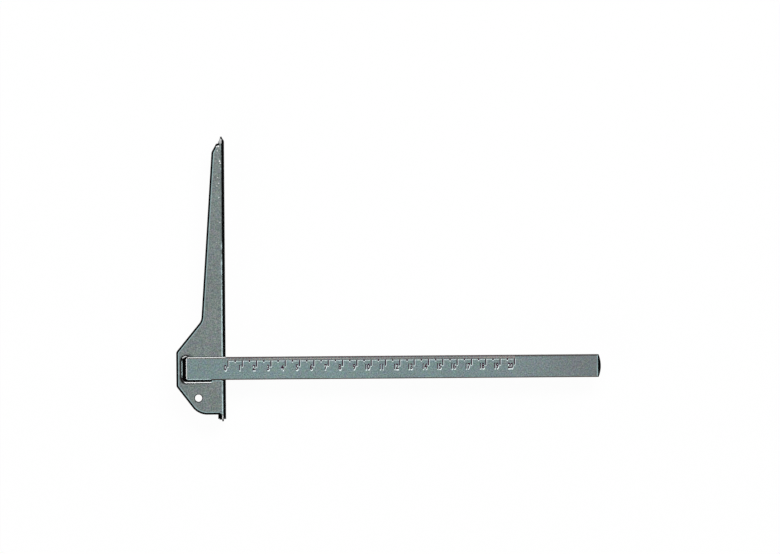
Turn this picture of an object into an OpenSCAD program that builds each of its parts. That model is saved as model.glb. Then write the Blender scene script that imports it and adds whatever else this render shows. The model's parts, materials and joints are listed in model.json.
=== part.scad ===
// T square for marking boards: a folded sheet-steel head with a guarded fence, and a graduated tube blade.
// The fence's working face is the plane x = 0 and faces +X. The blade runs along +X with its centreline
// on y = 0, and its underside is the plane z = 0, which lies on the board. +Z is the side that is read.

/* [Blade] */
// Width of the blade tube across its graduated face
blade_w = 16; // [12:0.5:24]
// Depth of the blade tube, from its underside to its graduated face
blade_h = 8; // [7:0.5:14]
// Wall thickness of the blade tube
blade_wall = 1; // [0.6:0.1:1.6]
// Outer radius of the tube's four long corners
blade_corner = 0.8; // [0.6:0.1:2]
// Reach of the tube beyond the fence's working face
blade_reach = 260; // [150:1:400]
// Radius of the tube's trimmed corners at its seated end
blade_end_r = 2.2; // [0.6:0.1:3]

/* [Head plate] */
// Thickness of the head's steel sheet
sheet_t = 1; // [0.8:0.1:1.6]
// Inside radius of the fold between plate and fence flange
bend_r = 0.5; // [0.3:0.1:1.5]
// Distance from the fence's working face to the head's back edge
hub_w = 34.4; // [31:0.1:42]
// Height of the back edge's upper end above the blade's centreline
hub_up = 11.7; // [9:0.1:16]
// Depth of the back edge's lower end below the blade's centreline
hub_down = 12.5; // [9:0.1:15]
// Radius of the two back corners
hub_r = 3; // [1:0.5:6]
// Width of the arm where it meets the upper shoulder
arm_base_w = 16.7; // [13:0.1:22]
// Height of the arm's foot above the blade's centreline
arm_base_y = 33.4; // [28:0.1:45]
// Radius of the hollow corner at the arm's foot
arm_base_r = 8; // [2:0.5:14]
// Width of the arm just below its slanted tip
arm_tip_w = 8.7; // [7:0.1:12]
// Height of the arm's tip above the blade's centreline
arm_top = 157; // [110:1:220]
// Width of the arm across its top edge
tip_top_w = 5.4; // [5.2:0.1:6.5]
// Height of the slanted cut at the arm's tip
tip_cut = 6; // [3:0.5:12]
// Radius of the corner below the slanted cut
tip_r = 5; // [1:0.5:8]
// Width of the tail, measured to the unrounded lower corner
tail_w = 19.3; // [16:0.1:26]
// Depth of the tail's lower edge below the blade's centreline
tail_down = 32.2; // [28:0.1:40]
// Radius of the tail's lower corner
tail_r = 13; // [4:0.5:16]

/* [Fence flange] */
// Depth of the flange below the plate's front face, to the underside of its lip
flange_depth = 18.5; // [13:0.1:26]
// Length of flange that stands out above the arm's tip
flange_up = 4.9; // [2:0.1:8]
// Length of flange that stands out below the tail's lower edge
flange_down = 4.7; // [3:0.1:8]
// Width of the flange's return lip, from the flange's outer face
lip_w = 3; // [2.8:0.1:6]
// How far the lip stops short of the flange's lower end
lip_short = 1; // [0.4:0.1:2]

/* [Fence guard] */
// Thickness of the guard's outer leg, whose face is the working face
guard_leg = 1.6; // [0.8:0.1:2.5]
// Thickness of the guard's web below the lip
guard_web = 1.6; // [1:0.1:3]
// Thickness of the guard's hook behind the lip
guard_hook = 0.9; // [0.7:0.1:1.5]
// Reach of the hook's barb over the lip
guard_barb = 0.6; // [0.3:0.1:1]
// How far the guard stops short of the flange's upper end
guard_short_up = 0.4; // [0.2:0.1:3]
// How far the guard stops short of the flange's lower end
guard_short_down = 1.6; // [1:0.1:3]
// Length of the lead-in cut at each end of the outer leg
guard_lead = 2.6; // [0.5:0.1:5]
// Radius of the guard's lower outside corners
guard_r = 0.8; // [0.3:0.1:1.2]
// Gap between the guard and the sheet that it grips
guard_gap = 0.05; // [0.02:0.01:0.15]

/* [Pocket] */
// Depth of the pocket's floor, which carries the blade, below the plate's front face
seat_depth = 7; // [3:0.1:7.5]
// Width of plate left between the head's back edge and the pocket
pocket_rim = 4.2; // [2.5:0.1:4.8]
// Gap between the pocket's back wall and the end of the blade
pocket_back = 2.5; // [1:0.1:5]
// Free width of the pocket below the blade
pocket_drop = 1.4; // [1:0.1:2.2]
// Gap between the blade and the walls that guide it
pocket_gap = 0.25; // [0.1:0.05:0.5]
// Length of the lower guiding wall, from the pocket's step to the fold
pocket_land = 7.1; // [4:0.1:9]
// Radius of the pocket's corners
pocket_r = 3; // [1:0.5:4]

/* [Hanging hole] */
// Diameter of the hanging hole
hole_d = 5; // [3:0.5:6]
// Distance from the fence's working face to the hole's axis
hole_x = 19; // [16:0.1:20]
// Depth of the hole's axis below the blade's centreline
hole_y = 20.6; // [18:0.1:23]

/* [Rivets] */
// Diameter of the rivet shank
rivet_d = 2.4; // [2:0.1:3]
// Diameter of the rivet head
rivet_head_d = 4.6; // [3.6:0.1:5]
// Height of the rivet head
rivet_head_h = 0.8; // [0.5:0.1:1]
// Diameter of the bulb that swells inside the tube
rivet_bulb_d = 3.6; // [3.2:0.1:4]
// Height of the bulb
rivet_bulb_h = 2; // [1.4:0.1:2.4]
// Diameter of the broken-off mandrel
mandrel_d = 1.2; // [0.8:0.1:1.5]
// Depth of the broken mandrel inside the rivet head
mandrel_break = 0.4; // [0.1:0.1:0.6]
// Gap around each rivet shank in its hole
rivet_gap = 0.05; // [0.02:0.01:0.1]
// Gap around each mandrel in its rivet
mandrel_gap = 0.03; // [0.02:0.01:0.05]
// Distance between the rivets along the blade
rivet_pitch = 14; // [8:0.1:16]
// Distance between the rivets across the blade
rivet_row = 8; // [5:0.1:9]

/* [Tail plug] */
// Rise of the plug's domed end
plug_dome = 1.6; // [0.5:0.1:4]
// Thickness of the plug's rim at the foot of the dome
plug_rim = 0.4; // [0.2:0.1:1.5]
// Length of the plug inside the tube
plug_l = 14; // [8:0.5:20]
// Number of grip ribs round the plug
plug_ribs = 4; // [2:1:6]
// Thickness of each grip rib along the plug
plug_rib_t = 1; // [0.6:0.1:1.6]
// Height of the grip ribs above the plug's core
plug_rib_h = 0.6; // [0.3:0.1:1]
// Gap between the ribs and the inside of the tube
plug_gap = 0.05; // [0.02:0.01:0.15]

/* [Hidden] */
$fn = 64;
corner_steps = 12;
over = 1;
fold_lap = 0.5;
steel_grey = "#7c8a8a";
plastic_black = "#0b0b0c";
rivet_silver = "#b9bcc0";
mandrel_steel = "#6d7074";

// Places along X of the fold, the flange, the pocket and the rivets
flange_x = -guard_leg;
fold_x = flange_x - sheet_t - bend_r;
lip_x = flange_x - lip_w;
hook_x = lip_x - guard_gap - guard_hook;
pocket_x = -hub_w + pocket_rim;
step_x = fold_x - pocket_land;
mouth_x = pocket_x + pocket_back;
rivets_x = (mouth_x + flange_x) / 2;

// Heights below the plate's front face, places along Y, and the inside of the tube
fold_z = -sheet_t - bend_r;
lip_z = -flange_depth + sheet_t;
lip_fold_z = lip_z + bend_r;
flange_top_y = arm_top + flange_up;
flange_bottom_y = -tail_down - flange_down;
guard_top_y = flange_top_y - guard_short_up;
guard_bottom_y = flange_bottom_y + guard_short_down;
guard_bottom_z = -flange_depth - guard_gap - guard_web;
bore_w = blade_w - 2 * blade_wall;
bore_h = blade_h - 2 * blade_wall;
bore_corner = max(blade_corner - blade_wall, 0.2);

// Every rivet grips the pocket's floor and the tube's back wall. Each place is the seat of its head.
grip = sheet_t + blade_wall;
rivet_seats = [
    for (along = [-1, 1], across = [-1, 1])
        [rivets_x + along * rivet_pitch / 2, across * rivet_row / 2, -sheet_t]
];

function unit(v) = v / norm(v);

// Points of the arc that rounds corner b between a and c. The radius is limited by the two edges.
function corner_arc(a, b, c, r) =
    let (
        u = unit(a - b),
        v = unit(c - b),
        half = acos(u * v) / 2,
        reach = min(r / tan(half), norm(a - b) / 2, norm(c - b) / 2),
        radius = reach * tan(half),
        centre = b + unit(u + v) * radius / sin(half),
        first = b + u * reach - centre,
        last = b + v * reach - centre,
        start = atan2(first.y, first.x),
        turn = atan2(first.x * last.y - first.y * last.x, first * last)
    )
    [for (i = [0:corner_steps]) centre + radius * [cos(start + turn * i / corner_steps),
                                                   sin(start + turn * i / corner_steps)]];

// Outline through corners given as [x, y, radius]
function rounded(corners) =
    let (n = len(corners), flat = [for (p = corners) [p.x, p.y]])
    [for (i = [0:n - 1])
        each corners[i].z == 0
            ? [flat[i]]
            : corner_arc(flat[(i + n - 1) % n], flat[i], flat[(i + 1) % n], corners[i].z)];

// Rectangle with exact round corners, centred on the origin
module rounded_rect(w, h, r) {
    square([w - 2 * r, h], center = true);
    square([w, h - 2 * r], center = true);
    for (x = [-1, 1], y = [-1, 1])
        translate([x * (w / 2 - r), y * (h / 2 - r)]) circle(r);
}

// Section drawn in X and Z, run along Y from y0 to y1
module along_y(y0, y1) {
    translate([0, y1, 0]) rotate([90, 0, 0]) linear_extrude(y1 - y0) children();
}

// Section drawn across the blade, Y to the right and Z up, run along X from x0 to x1
module along_x(x0, x1) {
    translate([x0, 0, 0]) rotate([90, 0, 90]) linear_extrude(x1 - x0) children();
}

module plate_outline() {
    polygon(rounded([
        [fold_x, -tail_down, 0],
        [fold_x, arm_top, 0],
        [-tip_top_w, arm_top, 0],
        [-arm_tip_w, arm_top - tip_cut, tip_r],
        [-arm_base_w, arm_base_y, arm_base_r],
        [-hub_w, hub_up, hub_r],
        [-hub_w, -hub_down, hub_r],
        [-tail_w, -tail_down, tail_r]
    ]));
}

// Inside of the pocket, or its outside when it is grown by the sheet, run towards the fence as far as end_x.
// It is wide round the blade's end, then steps in to guide the blade beside the fold.
module pocket_outline(grow, end_x) {
    guide_y = blade_w / 2 + pocket_gap;
    low_y = -blade_w / 2 - pocket_drop;
    step_l = pocket_drop - pocket_gap;
    shift = grow * tan(22.5);
    polygon(rounded([
        [pocket_x - grow, guide_y + grow, pocket_r + grow],
        [pocket_x - grow, low_y - grow, pocket_r + grow],
        [step_x + shift, low_y - grow, pocket_gap + grow],
        [step_x + step_l + shift, -guide_y - grow, 0],
        [end_x, -guide_y - grow, 0],
        [end_x, guide_y + grow, 0]
    ]));
}

// Section of the folded edge in X and Z: the plate's edge, the flange and its return lip
module fold_section() {
    difference() {
        translate([flange_x - hub_w / 2, -flange_depth / 2])
            rounded_rect(hub_w, flange_depth, bend_r + sheet_t);
        translate([flange_x - sheet_t - hub_w / 2, -flange_depth / 2])
            rounded_rect(hub_w, flange_depth - 2 * sheet_t, bend_r);
        translate([flange_x - hub_w - over, -sheet_t - over])
            square([hub_w + over + fold_x - fold_lap - flange_x, sheet_t + 2 * over]);
        translate([flange_x - hub_w - over, -flange_depth - over])
            square([hub_w + over - lip_w, flange_depth - sheet_t + over]);
    }
}

// The folded edge with its ends trimmed: the flange runs on past the plate, and the lip stops short of it
module folded_edge() {
    difference() {
        along_y(flange_bottom_y, flange_top_y) fold_section();
        translate([-hub_w, arm_top, fold_z]) cube([hub_w, flange_up + over, over - fold_z]);
        translate([-hub_w, flange_bottom_y - over, fold_z]) cube([hub_w, flange_down + over, over - fold_z]);
        translate([-hub_w, flange_bottom_y - over, -flange_depth - over])
            cube([hub_w, lip_short + over, lip_fold_z + flange_depth + over]);
        lip_slant(0);
    }
}

// Wedge that slants the upper end of the lip, from the arm's top edge out to the flange's end
module lip_slant(drop) {
    slant_z = fold_z - bend_r;
    translate([0, -drop, guard_bottom_z - over]) linear_extrude(slant_z - guard_bottom_z + over) polygon([
        [lip_x, arm_top],
        [flange_x - sheet_t, flange_top_y],
        [flange_x - sheet_t, flange_top_y + drop + over],
        [hook_x - over, flange_top_y + drop + over],
        [hook_x - over, arm_top]
    ]);
}

module head_plate() {
    color(steel_grey) difference() {
        translate([0, 0, seat_depth]) difference() {
            union() {
                translate([0, 0, -sheet_t]) linear_extrude(sheet_t) plate_outline();
                folded_edge();
                translate([0, 0, -seat_depth - sheet_t]) linear_extrude(seat_depth + sheet_t / 2)
                    pocket_outline(sheet_t, flange_x - sheet_t / 2);
            }
            translate([0, 0, -seat_depth]) linear_extrude(seat_depth + over) pocket_outline(0, over);
            translate([-hole_x, -hole_y, -sheet_t - over]) cylinder(d = hole_d, h = sheet_t + 2 * over);
        }
        rivet_holes();
    }
}

// Section of the guard: a facing for the flange that turns under the lip and hooks over its edge
module guard_section() {
    inner_x = flange_x + guard_gap;
    floor_z = -flange_depth - guard_gap;
    barb_z = lip_z + guard_gap;
    polygon(rounded([
        [0, 0, 0],
        [inner_x, 0, 0],
        [inner_x, floor_z, 0],
        [lip_x - guard_gap, floor_z, 0],
        [lip_x - guard_gap, barb_z, 0],
        [lip_x + guard_barb, barb_z, 0],
        [hook_x, barb_z + guard_barb + guard_hook, 0],
        [hook_x, guard_bottom_z, guard_r],
        [0, guard_bottom_z, guard_r]
    ]));
}

// Both ends of the outer leg are cut back, so that the fence slides onto a board without catching. The leg is
// notched for the blade.
module fence_guard() {
    color(plastic_black) translate([0, 0, seat_depth]) difference() {
        along_y(guard_bottom_y, guard_top_y) guard_section();
        lip_slant(guard_short_up);
        translate([0, 0, -seat_depth]) linear_extrude(seat_depth + over) pocket_outline(0, over);
        for (end = [guard_bottom_y, guard_top_y])
            translate([0, end, guard_bottom_z - over]) linear_extrude(2 * over - guard_bottom_z) polygon([
                [-guard_leg, 0],
                [0, guard_lead],
                [over, guard_lead],
                [over, -guard_lead],
                [0, -guard_lead]
            ]);
    }
}

module tube_section() {
    translate([0, blade_h / 2]) difference() {
        rounded_rect(blade_w, blade_h, blade_corner);
        rounded_rect(bore_w, bore_h, bore_corner);
    }
}

module blade_tube() {
    color(steel_grey) difference() {
        intersection() {
            along_x(mouth_x, blade_reach) tube_section();
            linear_extrude(blade_h) polygon(rounded([
                [mouth_x, -blade_w / 2, blade_end_r],
                [blade_reach, -blade_w / 2, 0],
                [blade_reach, blade_w / 2, 0],
                [mouth_x, blade_w / 2, blade_end_r]
            ]));
        }
        rivet_holes();
    }
}

// The plug's head carries on the tube's section and ends in a shallow dome across the blade's width
module tail_plug() {
    dome_r = (blade_w * blade_w / 4 + plug_dome * plug_dome) / (2 * plug_dome);
    head_end = blade_reach + plug_rim + plug_dome;
    rib_w = bore_w - 2 * plug_gap;
    rib_depth = bore_h - 2 * plug_gap;
    rib_step = plug_l / (plug_ribs + 0.5);
    color(plastic_black) union() {
        intersection() {
            along_x(blade_reach, head_end)
                translate([0, blade_h / 2]) rounded_rect(blade_w, blade_h, blade_corner);
            translate([head_end - dome_r, 0, -over]) cylinder(r = dome_r, h = blade_h + 2 * over);
        }
        along_x(blade_reach - plug_l, blade_reach) translate([0, blade_h / 2])
            square([rib_w - 2 * plug_rib_h, rib_depth - 2 * plug_rib_h], center = true);
        for (i = [1:plug_ribs])
            along_x(blade_reach - i * rib_step, blade_reach - i * rib_step + plug_rib_t)
                translate([0, blade_h / 2]) rounded_rect(rib_w, rib_depth, bore_corner);
    }
}

module rivet_holes() {
    for (seat = rivet_seats)
        translate(seat + [0, 0, -over]) cylinder(d = rivet_d + 2 * rivet_gap, h = grip + 2 * over);
}

// Half section of a set rivet: low head below its seat, shank through the grip, bulb above it
module rivet_section() {
    bore = mandrel_d / 2 + mandrel_gap;
    polygon([
        [bore, -rivet_head_h],
        [rivet_head_d / 4, -rivet_head_h],
        [rivet_head_d / 2, -rivet_head_h / 3],
        [rivet_head_d / 2, 0],
        [rivet_d / 2, 0],
        [rivet_d / 2, grip],
        [rivet_bulb_d / 2, grip],
        [rivet_bulb_d / 2, grip + rivet_bulb_h / 2],
        [rivet_d / 2, grip + rivet_bulb_h],
        [bore, grip + rivet_bulb_h]
    ]);
}

module rivet_bodies() {
    color(rivet_silver) for (seat = rivet_seats)
        translate(seat) rotate_extrude() rivet_section();
}

// What is left of each mandrel: a stub in the bore, and the head that swelled the bulb
module mandrel_section() {
    broken_z = -rivet_head_h + mandrel_break;
    bulb_top = grip + rivet_bulb_h;
    translate([0, broken_z]) square([mandrel_d / 2, bulb_top - broken_z]);
    translate([0, bulb_top]) intersection() {
        circle(d = rivet_d);
        square(rivet_d);
    }
}

module rivet_mandrels() {
    color(mandrel_steel) for (seat = rivet_seats)
        translate(seat) rotate_extrude() mandrel_section();
}

head_plate();
fence_guard();
blade_tube();
tail_plug();
rivet_bodies();
rivet_mandrels();
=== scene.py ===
"""Dressed model of a marking T square: enamelled head and blade, black guard and plug, engraved scale."""

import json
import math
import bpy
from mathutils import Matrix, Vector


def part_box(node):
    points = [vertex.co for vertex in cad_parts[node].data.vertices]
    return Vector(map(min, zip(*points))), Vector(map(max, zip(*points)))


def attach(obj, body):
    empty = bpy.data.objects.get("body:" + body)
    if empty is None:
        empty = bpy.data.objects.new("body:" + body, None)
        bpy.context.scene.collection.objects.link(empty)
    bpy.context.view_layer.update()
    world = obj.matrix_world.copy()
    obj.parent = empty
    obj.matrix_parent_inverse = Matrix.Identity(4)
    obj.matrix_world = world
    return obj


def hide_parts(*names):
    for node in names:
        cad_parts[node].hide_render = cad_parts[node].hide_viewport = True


bl_info = {
    "name": "Marking T Square",
    "version": (1, 0, 0),
    "blender": (4, 5, 0),
    "location": "3D View > Sidebar > T Square",
    "description": "Builds a marking T square with its engraved scale around the packed CAD model",
    "category": "Object",
}

import bmesh
import bpy
from bpy.props import FloatProperty, FloatVectorProperty, IntProperty, PointerProperty
from mathutils import Matrix, Vector

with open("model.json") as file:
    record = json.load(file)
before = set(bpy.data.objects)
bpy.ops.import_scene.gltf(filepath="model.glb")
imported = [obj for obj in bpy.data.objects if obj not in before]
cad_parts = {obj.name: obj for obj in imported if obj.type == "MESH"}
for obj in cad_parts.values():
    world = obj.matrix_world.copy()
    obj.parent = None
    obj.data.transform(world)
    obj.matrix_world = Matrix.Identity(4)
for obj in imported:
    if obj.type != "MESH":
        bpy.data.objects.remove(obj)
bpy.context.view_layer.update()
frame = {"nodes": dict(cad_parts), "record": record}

MM = 0.001
BODY = "root"
# Points this close are one point; faces and edges this close to a limit lie on it.
SAME, FLUSH, SLACK, NEAR = 0.001 * MM, 0.01 * MM, 0.05 * MM, 0.1 * MM
# Least height of the normal of a face that lies flat; then the turns between two faces below which they lie
# in one plane, above which their edge is shaded sharp, and above which it is rounded.
FLAT = 0.999
IN_PLANE, SHADED_SHARP, ROUNDED = math.radians(0.5), math.radians(30), math.radians(35)

BLADE_LOW, BLADE_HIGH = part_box("blade_tube")
TUBE_WALL, CORNER_DEPTH = 1.0 * MM, 1.1 * MM
PLUG_RIM = BLADE_HIGH.x + 0.3 * MM
GUARD_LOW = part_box("fence_guard")[0]
# Length of the guard's lower end that is made square.
GUARD_CUT = 4 * MM

# The head's plate, whose flange and return lip reach beyond it at both ends.
HEAD_LOW, HEAD_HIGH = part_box("head_plate")
PLATE_Z = HEAD_HIGH.z
PLATE_TOP, PLATE_END = HEAD_HIGH.y - 4.9 * MM, HEAD_LOW.y + 4.7 * MM
EDGE_DEPTH = 1.1 * MM
FLANGE_FROM_X, FLANGE_BELOW_Z = -6 * MM, 3 * MM
TIP_Y, TIP_MERGE = PLATE_TOP - 3 * MM, 0.4 * MM
POCKET_LOW, POCKET_HIGH = Vector((-30.2, -9.4, 0.0)) * MM, Vector((0.0, 8.25, 0.0)) * MM
POCKET_R = 3.0 * MM
STEP_X, FOLD_X = -10.2 * MM, -3.1 * MM
BEND_R = 1.5 * MM
HALF_SHEET = 0.5 * MM
HOLE = Vector(next(m["pos_m"] for m in frame["record"]["mounts"] if m["name"] == "hanging_hole"))

# Where the head's finishes change.
FOLD_SIDE, FOLD_REACH = FOLD_X - 1.9 * MM, 1.6 * MM
FLANGE_SPLIT, FLANGE_SEEN = -1.8 * MM, 3.5 * MM
# Where the painted shade on the flange's top and on the lip's lower end begins.
FLANGE_SHADE_TOP, DARK_TIP = PLATE_TOP + 3.3 * MM, HEAD_LOW.y + 1.4 * MM
LIP_DEPTH, LIP_REACH = 0.45 * MM, 2.0 * MM
LIP_CORNER_X, LIP_CORNER_Y = BLADE_LOW.x + 2.5 * MM, POCKET_HIGH.y - 1.0 * MM
LIP_END_X, LIP_ROUND_X = POCKET_LOW.x + 0.6 * MM, POCKET_LOW.x + 1.5 * MM
HOLE_REACH = 4.5 * MM
# Where the pale lines painted as highlights along the fold and at the pocket's end fade, by the distance from
# the blade's centreline.
FOLD_HIGHLIGHT_FADE, LIP_HIGHLIGHT_FADE = (45 * MM, 110 * MM), (4 * MM, 8 * MM)
# Where the painted shade round the seat ends, beyond the pocket and along the blade, and how ragged its edge
# is.
SEAT_SHADE_EDGE, SEAT_SHADE_ALONG, SEAT_SHADE_RAGGED = (1.75 * MM, 2.3 * MM), (-27 * MM, -22 * MM), 0.9 * MM

# Where the blade's enamel dulls towards its tail, and the streak that fingers rub along the scale, with the
# distances to either side over which it fades.
DULL_FROM, DULL_TO = 170 * MM, 250 * MM
STREAK_Y, STREAK_FADE = BLADE_HIGH.y - 1.6 * MM, (0.2 * MM, 0.4 * MM)

# Chips on the arm: place and radius in millimetres, then their height above the face, their thickness and
# the number of their corners.
CHIPS = ((-3.0, 144.8, 0.56), (-2.6, 143.3, 0.46), (-4.4, 133.3, 0.32), (-3.7, 129.3, 0.4),
         (-5.0, 127.3, 0.32), (-3.8, 119.3, 0.38), (-3.1, 102.0, 0.32), (-4.9, 154.9, 0.5),
         (-3.9, 155.1, 0.66), (-4.6, 151.9, 0.42), (-6.6, 110.5, 0.2), (-5.6, 88.0, 0.2))
CHIP_LIFT, CHIP_T, CHIP_CORNERS = 0.008 * MM, 0.006 * MM, 7

# Turn of the marks over the blade's corner; then the width of the painted highlight beside a centimetre mark,
# as a share of the highlight's width, and the thickness of the marks, as a share of the ink's level.
MARK_TURN, SIDE_HIGHLIGHT, MARK_THICK = math.radians(72), 0.6, 1.5

# Figures: their share of the font's size, how much they are narrowed and thickened, and the place of their
# painted highlights.
FIGURE_SHARE, FIGURE_NARROW, FIGURE_BOLD = 0.69, 0.72, 0.24 * MM
FIGURE_HIGHLIGHT = (0.25 * MM, -0.85 * MM)

# The photograph's middle, the width that it shows, its roll, and the camera's distance; then the lamps, each
# with its place from the aim, its span and its power.
VIEW_X, VIEW_Y, VIEW_WIDTH, VIEW_REACH = 0.1153, 0.06293, 0.5445, 12.0
VIEW_ROLL = math.radians(-0.45)
SENSOR = 36.0
LAMP_AIM = Vector((0.115, 0.063, 0.0))
LAMPS = (("Key", (1.2, 1.6, 2.4), (1.2, 1.2), 46.0),
         ("Top", (0.1, 1.5, 2.6), (1.4, 1.0), 38.0),
         ("Fill", (-1.3, -1.4, 1.1), (1.2, 0.8), 14.0))
WORLD_LIGHT = 0.12
FLOOR_PLACE, FLOOR_SIZE = (0.1, 0.06), 6.0


def linear(code):
    """Linear RGBA of an sRGB hex colour."""
    parts = [int(code[i:i + 2], 16) / 255 for i in (1, 3, 5)]
    return tuple(c / 12.92 if c <= 0.04045 else ((c + 0.055) / 1.055) ** 2.4 for c in parts) + (1.0,)


def length_prop(name, description, default):
    return FloatProperty(name=name, description=description, default=default, min=0.0, unit="LENGTH")


def colour_prop(name, description, code):
    return FloatVectorProperty(name=name, description=description, default=linear(code), size=4,
                               subtype="COLOR", min=0.0, max=1.0)


class TSQUARE_PG_sizes(bpy.types.PropertyGroup):
    """Sizes of the dressed pieces"""
    edge_round: length_prop("Sheet edge", "Rounding of the head's blanked edges", 0.42 * MM)
    flange_round: length_prop("Flange edge", "Rounding of the flange's and its lip's edges", 0.2 * MM)
    # Margins inwards from the head's outline. The two outer ones carry painted shade along the outline and a
    # painted highlight on the pocket's lower lip. The rubbed one is pale: partly rubbed enamel, partly
    # painted highlight.
    edge_lip: length_prop("Lip margin", "Width of the outermost margin, painted bright beside the pocket", 0.24 * MM)
    edge_dark: length_prop("Dark margin", "Width of the dark margin beside the outline", 0.7 * MM)
    edge_rub: length_prop("Rubbed margin", "Width of the paler margin along the head's edges", 0.55 * MM)
    blade_rub: length_prop("Blade margin", "Width of the worn margin at the blade's ends", 0.3 * MM)
    # Width of the strip painted dark as shade beside the blade's upper edge.
    soot_w: length_prop("Shaded margin", "Width of the painted shade beside the blade's upper edge", 1.15 * MM)
    blade_round: length_prop("Blade ends", "Rounding of the blade tube's cut ends", 0.4 * MM)
    plastic_round: length_prop("Plastic edges", "Rounding of the guard's and the plug's edges", 0.25 * MM)
    corner_r: length_prop("Blade corners", "Radius of the blade's corners that the marks run over", 0.8 * MM)
    zero_x: length_prop("Zero mark", "Distance from the fence's face to the scale's zero", 1.75 * MM)
    divisions: IntProperty(name="Divisions", description="Number of millimetres on the scale", default=200,
                           min=10)
    mark_w: length_prop("Millimetre width", "Width of a millimetre mark", 0.36 * MM)
    mark_mm: length_prop("Millimetre mark", "Length of a millimetre mark from the blade's edge", 2.8 * MM)
    mark_half: length_prop("Half mark", "Length of a five millimetre mark", 3.7 * MM)
    mark_cm: length_prop("Centimetre mark", "Length of a centimetre mark", 7.0 * MM)
    mark_long_w: length_prop("Long mark width", "Width of the five and ten millimetre marks", 0.85 * MM)
    burr: length_prop("Highlight width", "Width of the painted highlight beside a mark", 0.55 * MM)
    ink: length_prop("Ink level", "Height above the enamel at which the lacquer is laid", 0.02 * MM)
    figure_h: length_prop("Figure height", "Height of the figures", 3.5 * MM)
    figure_y: length_prop("Figure level", "Height of the figures' middle above the centreline", 0.3 * MM)
    figure_gap: length_prop("Figure gap", "Space between a figure and its centimetre mark", 0.6 * MM)


class TSQUARE_PG_colours(bpy.types.PropertyGroup):
    """Colours of the finishes"""
    head: colour_prop("Head enamel", "Grey enamel of the head", "#75807f")
    blade: colour_prop("Blade enamel", "Grey-green enamel of the blade", "#778d8e")
    dulled: colour_prop("Dulled enamel", "Greyer enamel towards the blade's tail", "#717b7d")
    # Pale tone along the head's edges: partly rubbed enamel, partly painted highlight on the lit rounding of
    # the paint.
    rubbed: colour_prop("Rubbed enamel", "Paler enamel along edges", "#9cb8ba")
    tube_edge: colour_prop("Tube corner highlight", "Pale line along the blade's lower corner in the pocket", "#cfeaec")
    # Painted highlight along the fold and at the pocket's end. On the fold it is partly worn enamel.
    worn: colour_prop("Bend highlight", "Pale line along bends: painted highlight, partly worn enamel", "#cfeaec")
    # Painted shade: a dark tone laid round the blade's seat, at the pocket's end and round the hole, where
    # shade falls.
    grime: colour_prop("Grime", "Painted shade round the blade's seat", "#191416")
    # Painted shade: a dark brownish tone on the blade's rounded corners, where they turn away from the light.
    browned: colour_prop("Corner shade", "Painted brownish shade on the blade's corners", "#5a524d")
    # Painted shade: a dark line along the blade's upper corner.
    sooted: colour_prop("Darkened edge", "Painted shade along the blade's upper corner", "#3a3433")
    # Dark bare edge. It is also laid as painted shade in the pocket, beside the fold, at the flange's ends
    # and along the outline.
    edge: colour_prop("Blanked edge", "Dark bare edge of the sheet, also painted shade", "#070606")
    # Bright steel in the chips. It is also laid as painted highlight on lit edges of the head and the blade.
    bare: colour_prop("Bare steel", "Bright steel where the enamel is worn off", "#fdffff")
    plastic: colour_prop("Black plastic", "Guard and plug", "#030303")
    lacquer: colour_prop("Scale lacquer", "Dark lacquer in the long marks and figures", "#340627")
    thin_lacquer: colour_prop("Thin lacquer", "Lacquer wiped thin in the millimetre marks", "#552e33")
    rubbed_lacquer: colour_prop("Rubbed lacquer", "Streak rubbed pale along the millimetre marks", "#d8baae")
    # Painted highlight on the lit wall of the engraved marks and figures.
    shoulder: colour_prop("Engraved shoulder", "Painted highlight beside marks and figures", "#f0ffff")
    rivet: colour_prop("Aluminium", "Rivet bodies", "#b9bcc0")
    mandrel: colour_prop("Mandrel steel", "Broken mandrels in the rivets", "#6d7074")
    floor: colour_prop("Floor", "White studio floor", "#ffffff")


def sizes():
    return bpy.context.scene.tsquare_sizes


def colour_of(name):
    return tuple(getattr(bpy.context.scene.tsquare_colours, name))


def scale_end():
    """Place along the blade where the scale stops."""
    return sizes().zero_x + sizes().divisions * MM + sizes().mark_long_w / 2


def dark_width():
    """Width of the dark outline of the head, from the plate's edge inwards."""
    return sizes().edge_round + sizes().edge_lip + sizes().edge_dark


# Materials

def add_node(tree, kind, settings=None, **links):
    """Adds a node, sets its properties, and fills its inputs with values or with other nodes' sockets."""
    made = tree.nodes.new(kind)
    for key, value in (settings or {}).items():
        setattr(made, key, value)
    for key, value in links.items():
        socket = made.inputs[int(key[1:])] if key[1:].isdigit() else made.inputs[key.replace("_", " ")]
        if isinstance(value, bpy.types.NodeSocket):
            tree.links.new(value, socket)
        else:
            socket.default_value = value
    return made


def per_mm(size):
    """Scale of a pattern whose features are this many millimetres across."""
    return 1.0 / (size * MM)


def shade(colour, factor):
    return tuple(c * factor for c in colour[:3]) + (1.0,)


def new_material(name):
    """An empty material, with its output and the place on the piece that its patterns read."""
    material = bpy.data.materials.new(name)
    material.use_nodes = True
    tree = material.node_tree
    tree.nodes.clear()
    output = add_node(tree, "ShaderNodeOutputMaterial")
    place = add_node(tree, "ShaderNodeTexCoord").outputs["Object"]
    return material, tree, output, place


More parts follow.
